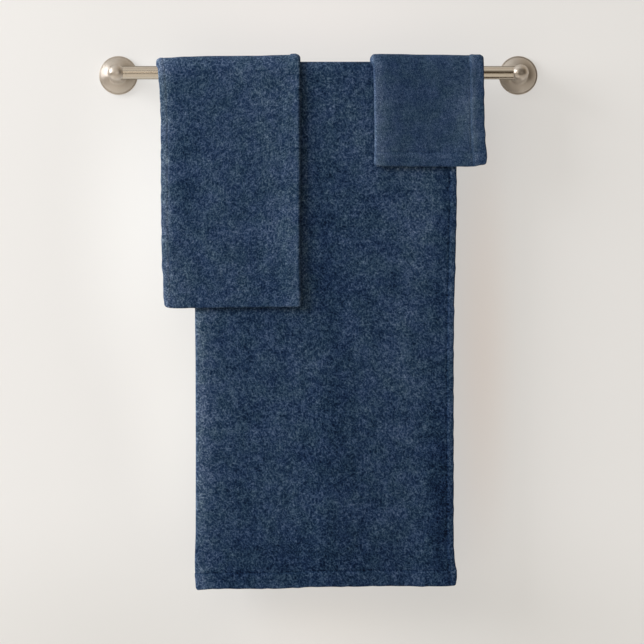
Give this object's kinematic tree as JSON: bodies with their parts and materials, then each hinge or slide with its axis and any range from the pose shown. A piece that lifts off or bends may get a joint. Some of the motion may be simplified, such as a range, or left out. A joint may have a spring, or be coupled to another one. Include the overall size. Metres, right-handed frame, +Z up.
{
  "type": "bath towel set on a wall-mounted towel bar",
  "caption": "Blue folded bath towel with a hand towel and a washcloth draped over it, on a brushed round towel bar with domed wall flanges.",
  "frame": {"origin": "on the wall plane, midway between the centres of the two wall flanges and level with the bar", "axes": "+X along the bar to the viewer's right, +Y into the wall, +Z up"},
  "size_m": [0.638, 0.0933, 0.7705],
  "materials": {
    "brushed_nickel": "satin brushed nickel plate",
    "plate_steel": "plain zinc-plated steel",
    "zinc_screws": "dark steel screws",
    "bath_towel_cloth": "brushed cotton terry, denim blue print",
    "hand_towel_cloth": "brushed cotton terry, denim blue print",
    "washcloth_cloth": "brushed cotton terry, denim blue print"
  },
  "bodies": {
    "root": {"left_mounting_plate": "plate_steel", "left_flange": "brushed_nickel", "left_post": "brushed_nickel", "left_post_screw": "zinc_screws", "left_set_screw": "zinc_screws", "right_mounting_plate": "plate_steel", "right_flange": "brushed_nickel", "right_post": "brushed_nickel", "right_post_screw": "zinc_screws", "right_set_screw": "zinc_screws"},
    "bar": {"bar_tube": "brushed_nickel"},
    "bath_towel_body": {"bath_towel": "bath_towel_cloth"},
    "bath_towel_flap": {"bath_towel_front": "bath_towel_cloth"},
    "hand_towel_body": {"hand_towel": "hand_towel_cloth"},
    "hand_towel_flap": {"hand_towel_front": "hand_towel_cloth"},
    "washcloth_body": {"washcloth": "washcloth_cloth"},
    "washcloth_flap": {"washcloth_front": "washcloth_cloth"}
  },
  "joints": [
    {"name": "bar_spin", "type": "hinge", "parent": "root", "child": "bar", "pos_m": [0, -0.07, 0], "axis": [1, 0, 0], "continuous": true},
    {"name": "bath_towel_slide", "type": "slide", "parent": "root", "child": "bath_towel_body", "axis": [1, 0, 0], "range_m": [-0.098, 0.076]},
    {"name": "hand_towel_slide", "type": "slide", "parent": "root", "child": "hand_towel_body", "axis": [1, 0, 0], "range_m": [-0.045, 0.05]},
    {"name": "washcloth_slide", "type": "slide", "parent": "root", "child": "washcloth_body", "axis": [1, 0, 0], "range_m": [-0.05, 0.037]},
    {"name": "bath_towel_swing", "type": "hinge", "parent": "bath_towel_body", "child": "bath_towel_flap", "pos_m": [0.011, -0.0824, -0.352], "axis": [-1, 0, 0], "range_deg": [0, 75]},
    {"name": "hand_towel_swing", "type": "hinge", "parent": "hand_towel_body", "child": "hand_towel_flap", "pos_m": [-0.12775, -0.0888, -0.006], "axis": [-1, 0, 0], "range_deg": [0, 80]},
    {"name": "washcloth_swing", "type": "hinge", "parent": "washcloth_body", "child": "washcloth_flap", "pos_m": [0.1575, -0.0893, -0.0065], "axis": [-1, 0, 0], "range_deg": [0, 80]}
  ]
}
